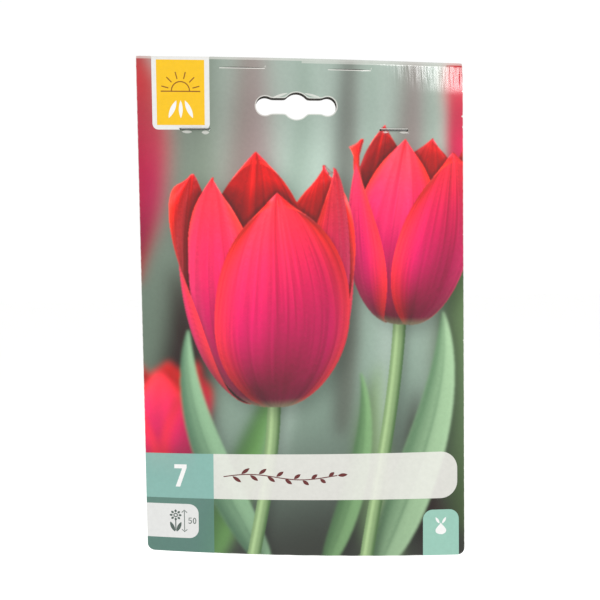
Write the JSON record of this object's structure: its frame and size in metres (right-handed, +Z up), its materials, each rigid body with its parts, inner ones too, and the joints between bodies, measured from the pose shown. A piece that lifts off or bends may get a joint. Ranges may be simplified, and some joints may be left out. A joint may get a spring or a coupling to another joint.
{
  "type": "flower bulb retail pack",
  "caption": "Hanging retail pack of tulip bulbs: a folded, glossy picture card with a die-cut hang slot, stapled over the mouth of a net bag filled with bulbs.",
  "frame": {"origin": "top of the hang slot's central arch, midway between the header's two boards, where a display hook carries the pack", "axes": "+Z up, the printed face towards -Y, the bulbs behind it towards +Y, +X to the right of someone facing the print"},
  "size_m": [0.13, 0.0528, 0.2],
  "materials": {
    "printed_card": "gloss laminated print",
    "staple_steel": "bright drawn wire",
    "bag_netting": "extruded polyethylene net, satin",
    "bulb_skin": "dry papery tunic over a fleshy bulb"
  },
  "bodies": {
    "root": {"picture_card": "printed_card", "staple_left": "staple_steel", "staple_right": "staple_steel", "net_bag": "bag_netting", "bulb_1": "bulb_skin", "bulb_2": "bulb_skin", "bulb_3": "bulb_skin", "bulb_4": "bulb_skin", "bulb_5": "bulb_skin", "bulb_6": "bulb_skin", "bulb_7": "bulb_skin"}
  },
  "joints": []
}
